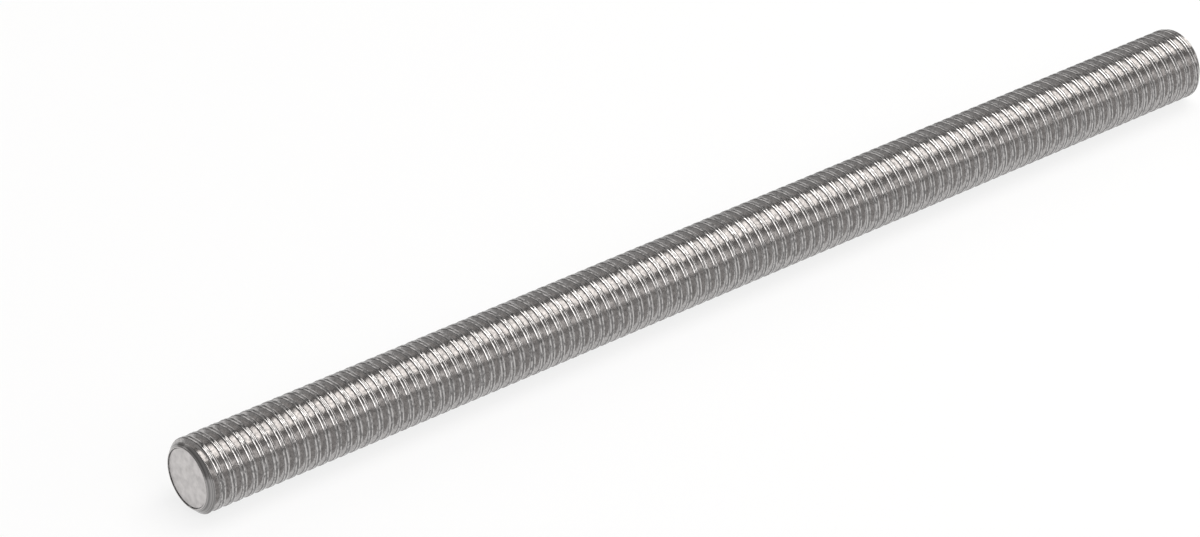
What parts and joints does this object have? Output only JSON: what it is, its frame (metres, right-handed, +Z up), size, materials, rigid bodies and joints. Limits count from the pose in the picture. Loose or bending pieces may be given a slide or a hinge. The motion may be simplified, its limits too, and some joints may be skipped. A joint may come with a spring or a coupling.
{
  "type": "threaded rod",
  "caption": "Straight round metal rod threaded along its whole length, with square-cut chamfered ends, for nuts or tapped holes.",
  "frame": {"origin": "middle of the rod's axis, halfway between its two cut faces", "axes": "+X along the rod's axis, the direction in which the right-hand thread advances; +Z up as it lies"},
  "size_m": [0.13, 0.0078, 0.0078],
  "materials": {
    "stainless_steel": "bright rolled stainless steel with fine drawing lines, satin cut ends"
  },
  "bodies": {
    "root": {"threaded_rod": "stainless_steel"}
  },
  "joints": []
}
